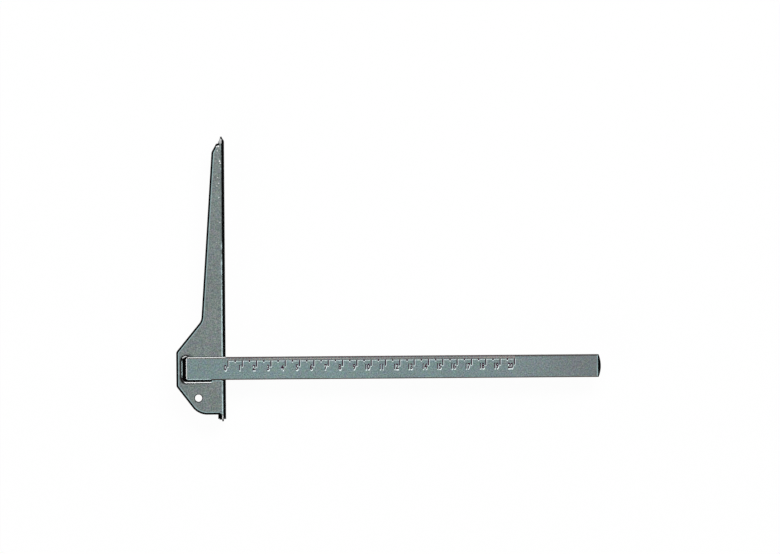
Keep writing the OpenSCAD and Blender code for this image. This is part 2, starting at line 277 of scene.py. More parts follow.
def stoved_enamel(name, colour, tail_colour=None, grimed=False):
    """Satin stoved enamel on steel: sprayed, so a fine stipple of light and dark specks covers it, the colour
    drifts slowly over the sheet, and the film is even enough to hold a soft highlight on every bend."""
    material, tree, output, place = new_material(name)
    # The real stipple is near 0.2 mm. It is drawn at 0.8 mm, so that it shows at the photograph's size.
    specks = add_node(tree, "ShaderNodeTexNoise", Vector=place, Scale=per_mm(0.8), Detail=3.0, Roughness=0.6)
    drift = add_node(tree, "ShaderNodeTexNoise", Vector=place, Scale=per_mm(24), Detail=2.0)
    split = add_node(tree, "ShaderNodeSeparateXYZ", Vector=place)
    paint = colour
    if tail_colour:
        dulled = add_node(tree, "ShaderNodeMapRange", Value=split.outputs["X"], From_Min=DULL_FROM,
                          From_Max=DULL_TO)
        paint = add_node(tree, "ShaderNodeMix", {"data_type": "RGBA"}, _0=dulled.outputs[0], _6=colour,
                         _7=tail_colour).outputs[2]
    slow = add_node(tree, "ShaderNodeMapRange", Value=drift.outputs["Fac"], From_Min=0.3, From_Max=0.7,
                    To_Min=0.93, To_Max=1.07)
    light = add_node(tree, "ShaderNodeMapRange", Value=specks.outputs["Fac"], From_Min=0.3, From_Max=0.7,
                     To_Min=0.42, To_Max=1.58)
    tint = add_node(tree, "ShaderNodeMapRange", {"data_type": "FLOAT_VECTOR"}, Vector=specks.outputs["Color"],
                    _7=(0.25,) * 3, _8=(0.75,) * 3, _9=(0.82,) * 3, _10=(1.18,) * 3)
    clouds = add_node(tree, "ShaderNodeTexNoise", Vector=place, Scale=per_mm(3.0), Detail=2.0)
    mottle = add_node(tree, "ShaderNodeMapRange", {"data_type": "FLOAT_VECTOR"},
                      Vector=clouds.outputs["Color"], _7=(0.3,) * 3, _8=(0.7,) * 3, _9=(0.92,) * 3,
                      _10=(1.08,) * 3)
    tinted = add_node(tree, "ShaderNodeVectorMath", {"operation": "MULTIPLY"}, _0=tint.outputs[1],
                      _1=mottle.outputs[1])
    level = add_node(tree, "ShaderNodeMath", {"operation": "MULTIPLY"}, _0=slow.outputs[0],
                     _1=light.outputs[0])
    spotted = add_node(tree, "ShaderNodeVectorMath", {"operation": "SCALE"}, _0=tinted.outputs[0],
                       Scale=level.outputs[0])
    paint = add_node(tree, "ShaderNodeMix", {"data_type": "RGBA", "blend_type": "MULTIPLY"}, _0=1.0, _6=paint,
                     _7=spotted.outputs[0]).outputs[2]
    # Painted shade darkens the face round the blade's seated end.
    if grimed:
        seat_shading = seat_grime(tree, place, split, specks)
        paint = add_node(tree, "ShaderNodeMix", {"data_type": "RGBA"}, _0=seat_shading, _6=paint,
                         _7=colour_of("grime")).outputs[2]
    rough = add_node(tree, "ShaderNodeMapRange", Value=specks.outputs["Fac"], To_Min=0.38, To_Max=0.56)
    peel = add_node(tree, "ShaderNodeTexNoise", Vector=place, Scale=per_mm(1.4), Detail=2.0)
    bump = add_node(tree, "ShaderNodeBump", Height=peel.outputs["Fac"], Strength=0.25, Distance=0.03 * MM)
    shader = add_node(tree, "ShaderNodeBsdfPrincipled", Base_Color=paint, Roughness=rough.outputs[0],
                      Normal=bump.outputs["Normal"], IOR=1.5)
    tree.links.new(shader.outputs[0], output.inputs[0])
    return material


def seat_grime(tree, place, split, specks):
    """Amount of the painted shade on the face round the blade's seated end, by the distance from the pocket.
    """
    middle = (POCKET_LOW + POCKET_HIGH) / 2
    core = (POCKET_HIGH - POCKET_LOW) / 2 - Vector((POCKET_R, POCKET_R, 0.0))
    flat = add_node(tree, "ShaderNodeVectorMath", {"operation": "MULTIPLY_ADD"}, _0=place, _1=(1.0, 1.0, 0.0),
                    _2=-middle)
    folded = add_node(tree, "ShaderNodeVectorMath", {"operation": "ABSOLUTE"}, _0=flat.outputs[0])
    beyond = add_node(tree, "ShaderNodeVectorMath", {"operation": "SUBTRACT"}, _0=folded.outputs[0], _1=core)
    outside = add_node(tree, "ShaderNodeVectorMath", {"operation": "MAXIMUM"}, _0=beyond.outputs[0],
                       _1=(0.0,) * 3)
    away = add_node(tree, "ShaderNodeVectorMath", {"operation": "LENGTH"}, _0=outside.outputs[0])
    ragged = add_node(tree, "ShaderNodeMath", {"operation": "MULTIPLY_ADD"}, _0=specks.outputs["Fac"],
                      _1=SEAT_SHADE_RAGGED, _2=away.outputs["Value"])
    near = add_node(tree, "ShaderNodeMapRange", {"interpolation_type": "SMOOTHSTEP"}, Value=ragged.outputs[0],
                    From_Min=POCKET_R + SEAT_SHADE_EDGE[0], From_Max=POCKET_R + SEAT_SHADE_EDGE[1], To_Min=0.97,
                    To_Max=0.0)
    back = add_node(tree, "ShaderNodeMapRange", {"interpolation_type": "SMOOTHSTEP"},
                    Value=split.outputs["X"], From_Min=SEAT_SHADE_ALONG[0], From_Max=SEAT_SHADE_ALONG[1], To_Min=1.0,
                    To_Max=0.0)
    both = add_node(tree, "ShaderNodeMath", {"operation": "MULTIPLY"}, _0=near.outputs[0], _1=back.outputs[0])
    on_face = add_node(tree, "ShaderNodeMath", {"operation": "GREATER_THAN"}, _0=split.outputs["Z"],
                       _1=PLATE_Z - HALF_SHEET)
    amount = add_node(tree, "ShaderNodeMath", {"operation": "MULTIPLY"}, _0=both.outputs[0],
                      _1=on_face.outputs[0])
    return amount.outputs[0]


def rubbed_enamel(name, colour):
    """Enamel rubbed thin along an edge: paler and smoother than the face, with small breaks. The same smooth
    tone also carries painted highlights and painted shade.
    """
    material, tree, output, place = new_material(name)
    breaks = add_node(tree, "ShaderNodeTexNoise", Vector=place, Scale=per_mm(2.2), Detail=3.0)
    level = add_node(tree, "ShaderNodeMapRange", Value=breaks.outputs["Fac"], From_Min=0.35, From_Max=0.65)
    paint = add_node(tree, "ShaderNodeMix", {"data_type": "RGBA"}, _0=level.outputs[0],
                     _6=shade(colour, 0.78), _7=shade(colour, 1.12))
    shader = add_node(tree, "ShaderNodeBsdfPrincipled", Base_Color=paint.outputs[2], Roughness=0.38, IOR=1.5)
    tree.links.new(shader.outputs[0], output.inputs[0])
    return material


def worn_line(name, colour, sound, highlight_fade):
    """A pale line along a bend: painted highlight, and on the fold partly worn enamel. It fades to the sound
    surface between the two given distances from the blade's centreline."""
    material, tree, output, place = new_material(name)
    split = add_node(tree, "ShaderNodeSeparateXYZ", Vector=place)
    breaks = add_node(tree, "ShaderNodeTexNoise", Vector=place, Scale=per_mm(3.0), Detail=3.0)
    away = add_node(tree, "ShaderNodeMath", {"operation": "ABSOLUTE"}, _0=split.outputs["Y"])
    fade = add_node(tree, "ShaderNodeMapRange", Value=away.outputs[0], From_Min=highlight_fade[0], From_Max=highlight_fade[1],
                    To_Min=0.12, To_Max=-0.3)
    level = add_node(tree, "ShaderNodeMath", {"operation": "ADD"}, _0=breaks.outputs["Fac"],
                     _1=fade.outputs[0])
    worn = add_node(tree, "ShaderNodeMapRange", Value=level.outputs[0], From_Min=0.3, From_Max=0.6)
    paint = add_node(tree, "ShaderNodeMix", {"data_type": "RGBA"}, _0=worn.outputs[0], _6=sound, _7=colour)
    shader = add_node(tree, "ShaderNodeBsdfPrincipled", Base_Color=paint.outputs[2], Roughness=0.38, IOR=1.5)
    tree.links.new(shader.outputs[0], output.inputs[0])
    return material


def blanked_edge(name, colour):
    """Blanked or sawn steel edge: oxidised dark and matt, with a fine break in its tone. The same dark is
    laid as painted shade in the pocket, beside the fold, at the flange's ends, along the outline and at the
    blade's end.
    """
    material, tree, output, place = new_material(name)
    breaks = add_node(tree, "ShaderNodeTexNoise", Vector=place, Scale=per_mm(0.6), Detail=3.0)
    tone = add_node(tree, "ShaderNodeMix", {"data_type": "RGBA"}, _0=breaks.outputs["Fac"],
                    _6=shade(colour, 0.5), _7=shade(colour, 1.6))
    shader = add_node(tree, "ShaderNodeBsdfPrincipled", Base_Color=tone.outputs[2], Roughness=0.6,
                      Specular_IOR_Level=0.05)
    tree.links.new(shader.outputs[0], output.inputs[0])
    return material


def bare_steel(name):
    """Bright steel: bare where the enamel has chipped off, and laid as painted highlight on lit edges and
    ends, with a fine rubbed grain. It is only a little metallic, because the studio's dark sides would turn a
    full metal grey."""
    material, tree, output, place = new_material(name)
    colour = colour_of("bare")
    grain = add_node(tree, "ShaderNodeTexNoise", Vector=place, Scale=per_mm(0.5), Detail=3.0)
    tone = add_node(tree, "ShaderNodeMix", {"data_type": "RGBA"}, _0=grain.outputs["Fac"],
                    _6=shade(colour, 0.85), _7=shade(colour, 1.05))
    rough = add_node(tree, "ShaderNodeMapRange", Value=grain.outputs["Fac"], To_Min=0.26, To_Max=0.42)
    shader = add_node(tree, "ShaderNodeBsdfPrincipled", Base_Color=tone.outputs[2],
                      Roughness=rough.outputs[0], Metallic=0.1)
    tree.links.new(shader.outputs[0], output.inputs[0])
    return material


def black_plastic(name, stretch):
    """Black plastic, extruded or moulded: satin, with faint flow lines along its length and greyer scuffs."""
    material, tree, output, place = new_material(name)
    colour = colour_of("plastic")
    along = add_node(tree, "ShaderNodeMapping", Vector=place, Scale=stretch)
    lines = add_node(tree, "ShaderNodeTexNoise", Vector=along.outputs[0], Scale=per_mm(0.5), Detail=3.0)
    scuffs = add_node(tree, "ShaderNodeTexNoise", Vector=place, Scale=per_mm(3.0), Detail=5.0, Roughness=0.7)
    scuffed = add_node(tree, "ShaderNodeMapRange", Value=scuffs.outputs["Fac"], From_Min=0.6, From_Max=0.78,
                       To_Max=0.5)
    body = add_node(tree, "ShaderNodeMix", {"data_type": "RGBA"}, _0=lines.outputs["Fac"],
                    _6=shade(colour, 0.7), _7=shade(colour, 1.3))
    tone = add_node(tree, "ShaderNodeMix", {"data_type": "RGBA"}, _0=scuffed.outputs[0], _6=body.outputs[2],
                    _7=shade(colour, 4.0))
    rough = add_node(tree, "ShaderNodeMapRange", Value=lines.outputs["Fac"], To_Min=0.26, To_Max=0.38)
    bump = add_node(tree, "ShaderNodeBump", Height=lines.outputs["Fac"], Strength=0.2, Distance=0.02 * MM)
    shader = add_node(tree, "ShaderNodeBsdfPrincipled", Base_Color=tone.outputs[2],
                      Roughness=rough.outputs[0], Normal=bump.outputs["Normal"], IOR=1.5,
                      Specular_IOR_Level=0.07)
    tree.links.new(shader.outputs[0], output.inputs[0])
    return material


def scale_lacquer(name, colour, rubbed=None):
    """Dark lacquer wiped into the engraved marks: matt, a little thinner in places. Fingers rub a streak of
    it pale beside the blade's edge."""
    material, tree, output, place = new_material(name)
    wiped = add_node(tree, "ShaderNodeTexNoise", Vector=place, Scale=per_mm(1.5), Detail=2.0)
    tone = add_node(tree, "ShaderNodeMix", {"data_type": "RGBA"}, _0=wiped.outputs["Fac"],
                    _6=shade(colour, 0.75), _7=shade(colour, 1.3)).outputs[2]
    if rubbed:
        split = add_node(tree, "ShaderNodeSeparateXYZ", Vector=place)
        off = add_node(tree, "ShaderNodeMath", {"operation": "SUBTRACT"}, _0=split.outputs["Y"],
                       _1=STREAK_Y)
        away = add_node(tree, "ShaderNodeMath", {"operation": "ABSOLUTE"}, _0=off.outputs[0])
        near = add_node(tree, "ShaderNodeMapRange", Value=away.outputs[0], From_Min=STREAK_FADE[0],
                        From_Max=STREAK_FADE[1], To_Min=1.0, To_Max=0.0)
        patches = add_node(tree, "ShaderNodeTexNoise", Vector=place, Scale=per_mm(22), Detail=2.0)
        strong = add_node(tree, "ShaderNodeMapRange", Value=patches.outputs["Fac"], From_Min=0.35,
                          From_Max=0.6, To_Min=0.45, To_Max=1.0)
        share = add_node(tree, "ShaderNodeMath", {"operation": "MULTIPLY"}, _0=near.outputs[0],
                         _1=strong.outputs[0])
        tone = add_node(tree, "ShaderNodeMix", {"data_type": "RGBA"}, _0=share.outputs[0], _6=tone,
                        _7=rubbed).outputs[2]
    shader = add_node(tree, "ShaderNodeBsdfPrincipled", Base_Color=tone, Roughness=0.6,
                      Specular_IOR_Level=0.1)
    tree.links.new(shader.outputs[0], output.inputs[0])
    return material


def plain_metal(name, colour, roughness, size):
    """Rivet metal: formed cold, so it keeps fine drawing marks and a dull sheen."""
    material, tree, output, place = new_material(name)
    marks = add_node(tree, "ShaderNodeTexNoise", Vector=place, Scale=per_mm(size), Detail=3.0)
    tone = add_node(tree, "ShaderNodeMix", {"data_type": "RGBA"}, _0=marks.outputs["Fac"],
                    _6=shade(colour, 0.8), _7=shade(colour, 1.1))
    rough = add_node(tree, "ShaderNodeMapRange", Value=marks.outputs["Fac"], To_Min=roughness - 0.08,
                     To_Max=roughness + 0.1)
    shader = add_node(tree, "ShaderNodeBsdfPrincipled", Base_Color=tone.outputs[2],
                      Roughness=rough.outputs[0], Metallic=1.0)
    tree.links.new(shader.outputs[0], output.inputs[0])
    return material


def studio_floor(name, colour):
    """Seamless white paper: white to the eye and in reflections, with a faint shadow under the square."""
    material, tree, output, place = new_material(name)
    fibres = add_node(tree, "ShaderNodeTexNoise", Vector=place, Scale=per_mm(2.0), Detail=2.0)
    tone = add_node(tree, "ShaderNodeMix", {"data_type": "RGBA"}, _0=fibres.outputs["Fac"],
                    _6=shade(colour, 0.97), _7=colour)
    paper = add_node(tree, "ShaderNodeBsdfDiffuse", Color=tone.outputs[2])
    glow = add_node(tree, "ShaderNodeEmission", Color=colour, Strength=1.0)
    path = add_node(tree, "ShaderNodeLightPath")
    seen = add_node(tree, "ShaderNodeMath", {"operation": "MAXIMUM"}, _0=path.outputs["Is Camera Ray"],
                    _1=path.outputs["Is Glossy Ray"])
    seen = add_node(tree, "ShaderNodeMath", {"operation": "MAXIMUM"}, _0=seen.outputs[0],
                    _1=path.outputs["Is Transmission Ray"])
    share = add_node(tree, "ShaderNodeMath", {"operation": "MULTIPLY"}, _0=seen.outputs[0], _1=0.97)
    mixed = add_node(tree, "ShaderNodeMixShader", _0=share.outputs[0], _1=paper.outputs[0],
                     _2=glow.outputs[0])
    tree.links.new(mixed.outputs[0], output.inputs[0])
    return material


# Meshes

def node_copy(name):
    """Copy of a CAD node with its triangles joined into whole faces."""
    bm = bmesh.new()
    bm.from_mesh(frame["nodes"][name].data)
    bmesh.ops.remove_doubles(bm, verts=bm.verts, dist=SAME)
    bmesh.ops.dissolve_limit(bm, angle_limit=IN_PLANE, verts=bm.verts, edges=bm.edges)
    return bm


def sharp_edges(bm, test=None):
    """Edges to be rounded, in the places that the test allows."""
    found = [e for e in bm.edges if e.is_manifold and e.calc_face_angle(0.0) > ROUNDED]
    return [e for e in found if test is None or test((e.verts[0].co + e.verts[1].co) / 2)]


def round_edges(bm, edges, radius, segments, clamp=True):
    bmesh.ops.bevel(bm, geom=edges, offset=radius, offset_type="OFFSET", segments=segments, profile=0.5,
                    affect="EDGES", material=-1, clamp_overlap=clamp, loop_slide=clamp)


def cut(bm, place, normal, test=None):
    """Cuts the faces that the test allows along a plane, so that both sides can have their own finish."""
    faces = [f for f in bm.faces if test is None or test(f)]
    # A dictionary keeps the order of its keys, so that every run gives the same mesh.
    geom = dict.fromkeys(item for f in faces for part in (f.verts, f.edges) for item in part)
    bmesh.ops.bisect_plane(bm, geom=list(geom) + faces, dist=SAME, plane_co=place, plane_no=normal)


def join_flat(bm, keep=None):
    """Joins neighbouring faces that lie in one plane, except across the edges that are kept."""
    flat = [e for e in bm.edges if e.is_manifold and e.calc_face_angle(0.0) < IN_PLANE]
    bmesh.ops.dissolve_edges(bm, edges=[e for e in flat if keep is None or not keep(e)], use_verts=True)


def make_piece(bm, name, materials, weighted=True):
    """Turns a bmesh into a piece of the square that rides on its body."""
    for face in bm.faces:
        face.smooth = True
    mesh = bpy.data.meshes.new(name)
    bm.to_mesh(mesh)
    bm.free()
    mesh.set_sharp_from_angle(angle=SHADED_SHARP)
    piece = bpy.data.objects.new(name, mesh)
    bpy.context.scene.collection.objects.link(piece)
    for material in materials:
        mesh.materials.append(material)
    if weighted:
        normals = piece.modifiers.new("Even shading", "WEIGHTED_NORMAL")
        normals.keep_sharp = True
    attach(piece, BODY)
    return piece


class TSQUARE_OT_head(bpy.types.Operator):
    """Make the head: rounded blanked edges, rubbed margins, and painted highlights and painted shade on the
    folded sheet
    """
    bl_idname = "tsquare.head"
    bl_label = "Head"
    bl_options = {"REGISTER", "UNDO"}

    def execute(self, context):
        size = sizes()
        bm = node_copy("head_plate")
        self.round_sheet(bm)
        # The flange and its lip stand out beyond the plate at both ends, and are finished otherwise there:
        # painted bright as highlight where light reaches them, painted dark as shade elsewhere.
        for y in (FLANGE_SHADE_TOP, PLATE_TOP + NEAR, PLATE_END - NEAR, DARK_TIP):
            cut(bm, (0, y, 0), (0, 1, 0))
        cut(bm, (FLANGE_SPLIT, 0, 0), (1, 0, 0), lambda face: face.calc_center_median().y < PLATE_END)
        ring = bm.faces.layers.int.new("ring")
        front = [f for f in bm.faces if f.normal.z > FLAT and f.calc_center_median().z > PLATE_Z - FLUSH]
        for step, width in enumerate((size.edge_lip, size.edge_dark, size.edge_rub), 1):
            for face in bmesh.ops.inset_region(bm, faces=front, thickness=width, depth=0.0,
                                               use_even_offset=True, use_boundary=True)["faces"]:
                face[ring] = step
        # The margins meet at the narrow tip.
        tip = dict.fromkeys(v for f in front for v in f.verts if v.co.y > TIP_Y)
        bmesh.ops.remove_doubles(bm, verts=list(tip), dist=TIP_MERGE)
        for y in (PLATE_TOP - dark_width(), PLATE_END + dark_width()):
            cut(bm, (0, y, 0), (0, 1, 0), lambda face: face[ring] and face.calc_center_median().x > FOLD_SIDE)
        finishes = {
            "enamel": stoved_enamel("Grey stoved enamel on sheet", colour_of("head"), grimed=True),
            "rubbed": rubbed_enamel("Rubbed grey enamel", colour_of("rubbed")),
            # dark is the blanked edge, and painted shade in the pocket, beside the fold, at the flange's ends
            # and along the outline.
            "dark": blanked_edge("Dark blanked steel edge", colour_of("edge")),
            # bare on the head is painted highlight on lit edges, bright as steel.
            "bare": bare_steel("Bright bare steel"),
            # fold and lip are pale lines painted as highlights. The lip's line fades into the painted seat
            # shade.
            "fold": worn_line("Enamel worn along the fold", colour_of("worn"), colour_of("head"), FOLD_HIGHLIGHT_FADE),
            # A dark tone painted as shade round the pocket's end and round the hole.
            "grimed": rubbed_enamel("Grimed enamel round the pocket", shade(colour_of("head"), 0.25)),
            "lip": worn_line("Enamel worn at the pocket's end", colour_of("worn"), colour_of("grime"),
                             LIP_HIGHLIGHT_FADE),
        }
        slots = list(finishes)
        for face in bm.faces:
            face.material_index = slots.index(self.finish_of(face, face[ring]))
        bm.faces.layers.int.remove(ring)
        piece = make_piece(bm, "head", finishes.values())
        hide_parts("head_plate")
        return {"FINISHED"}

    def round_sheet(self, bm):
        """Rounds the blanked edges of the plate, and less so those of the flange and its lip."""
        def on_plate(place):
            if place.x < FOLD_X:
                return place.z > PLATE_Z - EDGE_DEPTH - NEAR
            # The dark edges go on over the outside of the fold at the plate's ends.
            bend = Vector((place.x - FOLD_X, place.z - PLATE_Z + BEND_R)).length
            return bend > BEND_R - NEAR and place.z > PLATE_Z - BEND_R + 2 * FLUSH and (
                abs(place.y - PLATE_TOP) < NEAR or abs(place.y - PLATE_END) < NEAR)

        def on_flange(place):
            return place.x > FLANGE_FROM_X and place.z < FLANGE_BELOW_Z

        # The tiny arc at the pocket's step would fold over itself when its edge is rounded.
        bmesh.ops.collapse(bm, edges=[e for e in bm.edges
                                      if e.calc_length() < 3 * FLUSH and e.verts[0].co.x < FOLD_SIDE])
        # One cut through the hole leaves a ring round it without slanting edges.
        cut(bm, HOLE, (0, 1, 0))
        join_flat(bm, lambda edge: all(abs(v.co.y - HOLE.y) < FLUSH for v in edge.verts))
        round_edges(bm, sharp_edges(bm, on_plate), sizes().edge_round, 3, clamp=False)
        round_edges(bm, sharp_edges(bm, on_flange), sizes().flange_round, 2)

    def finish_of(self, face, ring):
        """Finish of a face. The ring counts the margins inwards from the plate's edges."""
        place, normal = face.calc_center_median(), face.normal
        depth = PLATE_Z - place.z
        from_behind = normal.z <= -0.5
        # Beyond the plate's top, the lip is painted bright as a highlight and the flange's top is painted
        # dark as shade.
        if place.y > PLATE_TOP + SLACK:
            flange_top_shade = depth < FLANGE_SEEN and place.y > FLANGE_SHADE_TOP
            return "bare" if normal.z > 0.6 and not flange_top_shade else "enamel" if from_behind else "dark"
        # Below the plate's end, the flange's edge is painted bright as a highlight and the lip's end is
        # painted dark as shade.
        if place.y < PLATE_END - SLACK:
            bright = depth < FLANGE_SEEN and place.y > DARK_TIP and place.x < FLANGE_SPLIT
            return "bare" if bright else "dark"
        # On the fold's outer bend, a pale band is painted as its highlight. Beyond it, a dark band is painted
        # as the shadow in the gap beside the guard.
        if place.x > HEAD_HIGH.x - FOLD_REACH and normal.x > 0.01:
            on_fold = normal.x >= 0.3 and depth <= FOLD_REACH
            return "enamel" if not on_fold else "fold" if normal.x < 0.82 else "dark"
        # A step along the normal tells the pocket's inside, painted dark as shade, from the outside of its
        # walls.
        inside = self.by_pocket(place + normal * HALF_SHEET, SLACK)
        if inside and depth > LIP_DEPTH and not from_behind:
            return "dark"
        if self.by_pocket(place, LIP_REACH):
            return self.lip_finish(place, ring, not ring and 2 * SAME < depth < LIP_DEPTH)
        # The innermost ring round the hole is painted dark as shade.
        if (place - HOLE).xy.length < HOLE_REACH and ring:
            return "grimed" if ring == 1 else "enamel"
        if place.x > FOLD_SIDE and ring:
            at_end = place.y < PLATE_END + dark_width()
            return "dark" if place.y > PLATE_TOP - dark_width() else "rubbed" if at_end else "enamel"
        # The two outer margins are painted dark as shade along the outline. The inner one is pale: partly
        # rubbed enamel, partly painted highlight on the paint's lit rounding.
        if ring == 3:
            return "rubbed"
        return "dark" if ring or 2 * SAME < depth < EDGE_DEPTH and not from_behind else "enamel"

    def by_pocket(self, place, reach):
        return (place.x > POCKET_LOW.x - reach
                and POCKET_LOW.y - reach < place.y < POCKET_HIGH.y + reach)

    def lip_finish(self, place, ring, rounded):
        """Finish on the pocket's lip: a painted highlight at the blade's upper corner, a painted highlight
        with painted shade round it at the pocket's end, plain along the upper side that guides the blade, a
        painted highlight below it, and rubbed beyond the step."""
        worn = rounded or ring == 1
        if worn and place.x < LIP_CORNER_X and place.y > LIP_CORNER_Y:
            return "bare"
        if place.x < LIP_END_X and (rounded or ring):
            return "lip" if rounded else "grimed" if ring == 3 else "dark"
        if place.y > BLADE_LOW.y - NEAR or place.x < LIP_ROUND_X:
            return "enamel"
        if place.x > STEP_X:
            return "rubbed" if worn else "enamel"
        return "bare" if worn else "grimed" if ring == 2 else "enamel"


class TSQUARE_OT_chips(bpy.types.Operator):
    """Make the small chips that show bare steel on the arm"""
    bl_idname = "tsquare.chips"
    bl_label = "Enamel chips"
    bl_options = {"REGISTER", "UNDO"}

    def execute(self, context):
        bm = bmesh.new()
        for turn, (x, y, r) in enumerate(CHIPS):
            made = bmesh.ops.create_circle(bm, cap_ends=True, segments=CHIP_CORNERS, radius=r * MM)["verts"]
            # Each corner lies at its own share of the radius, so that no chip is round.
            for step, vert in enumerate(made):
                vert.co *= 0.75 + 0.5 * ((turn * 5 + step * 3) % CHIP_CORNERS) / (CHIP_CORNERS - 1)
            bmesh.ops.translate(bm, verts=made, vec=(x * MM, y * MM, PLATE_Z + CHIP_LIFT))
        bmesh.ops.solidify(bm, geom=bm.faces[:], thickness=CHIP_T)
        make_piece(bm, "enamel_chips", [bare_steel("Bare steel in the chips")],
                   weighted=False)
        return {"FINISHED"}


class TSQUARE_OT_guard(bpy.types.Operator):
    """Make the black guard on the fence"""
    bl_idname = "tsquare.guard"
    bl_label = "Fence guard"
    bl_options = {"REGISTER", "UNDO"}

    def execute(self, context):
        bm = node_copy("fence_guard")
        # The lower end of the real guard is sawn off square.
        for vert in bm.verts:
            if vert.co.y < GUARD_LOW.y + GUARD_CUT:
                vert.co.y = GUARD_LOW.y
        join_flat(bm)
        round_edges(bm, sharp_edges(bm), sizes().plastic_round, 2)
        piece = make_piece(bm, "guard", [black_plastic("Black extruded PVC", (1.0, 0.02, 1.0))])
        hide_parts("fence_guard")
        return {"FINISHED"}


class TSQUARE_OT_blade(bpy.types.Operator):
    """Make the blade: the tube with its cut ends broken, and painted highlights and painted shade on its ends
    and corners
    """
    bl_idname = "tsquare.blade"
    bl_label = "Blade"
    bl_options = {"REGISTER", "UNDO"}

    def execute(self, context):
        size = sizes()
        bm = node_copy("blade_tube")
        middle_z, skin = BLADE_HIGH.z / 2, TUBE_WALL - SLACK

        def at_ends(place):
            outer = abs(place.y) > BLADE_HIGH.y - skin or abs(place.z - middle_z) > middle_z - skin
            return outer and (place.x < BLADE_LOW.x + NEAR or place.x > BLADE_HIGH.x - NEAR)

        round_edges(bm, sharp_edges(bm, at_ends), size.blade_round, 3, clamp=False)
        worn = size.blade_round + size.blade_rub
        for x in (0.0, STEP_X, scale_end(), BLADE_LOW.x + worn, BLADE_HIGH.x - worn):
            cut(bm, (x, 0, 0), (1, 0, 0))
        cut(bm, (0, BLADE_HIGH.y - size.soot_w, 0), (0, 1, 0),
            lambda face: face.normal.z > FLAT and not 0 < face.calc_center_median().x < scale_end())
        finishes = {
            "enamel": stoved_enamel("Grey stoved enamel on tube", colour_of("blade"), colour_of("dulled")),
            # bright and worn here are painted highlights. sawn is the dark cut end and painted shade.
            "bright": bare_steel("Bright worn corner"),
            "worn": rubbed_enamel("Enamel worn along the tube", colour_of("tube_edge")),
            "browned": rubbed_enamel("Browned enamel on the corners", colour_of("browned")),
            "sooted": rubbed_enamel("Darkened enamel on the upper corner", colour_of("sooted")),
            "sawn": blanked_edge("Dark sawn tube end", colour_of("edge")),
            "rubbed": rubbed_enamel("Rubbed enamel at the tube's tail", colour_of("rubbed")),
        }
        slots = list(finishes)
        for face in bm.faces:
            face.material_index = slots.index(self.finish_of(face, worn))
        piece = make_piece(bm, "blade", finishes.values())
        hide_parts("blade_tube")
        return {"FINISHED"}

    def finish_of(self, face, worn):
        """Finish of a face: the tail is rubbed and the head end painted with highlight and shade over the
        given width, and the long corners painted with highlight and shade.
        """
        place, normal = face.calc_center_median(), face.normal
        if place.z < BLADE_HIGH.z - CORNER_DEPTH:
            return "enamel"
        # At the head end, the bevel is painted dark as shade and the top is painted bright as a highlight.
        if place.x < BLADE_LOW.x + worn:
            return "sawn" if normal.z < 0.8 else "bright"
        looks_up, on_scale = normal.z > 0.1, 0 < place.x < scale_end()
        # Beside the upper edge: painted shade beyond the scale, and over the head a painted highlight on the
        # corner with painted shade beside it.
        if place.y > BLADE_HIGH.y - sizes().soot_w and looks_up and not on_scale:
            return "sooted" if place.x > 0 else "bright" if normal.z < 0.95 else "browned"
        # Corner faces: painted shade on the upper corner and on the lower corner beyond the step. In the
        # pocket there is a painted highlight, with painted shade on its steep part.
        if looks_up and normal.z < 0.995 and abs(normal.y) > 0.1:
            in_pocket = "worn" if normal.z > 0.6 else "sawn"
            return "sooted" if place.y > 0 else "browned" if place.x > STEP_X else in_pocket
        return "rubbed" if place.x > BLADE_HIGH.x - worn else "enamel"


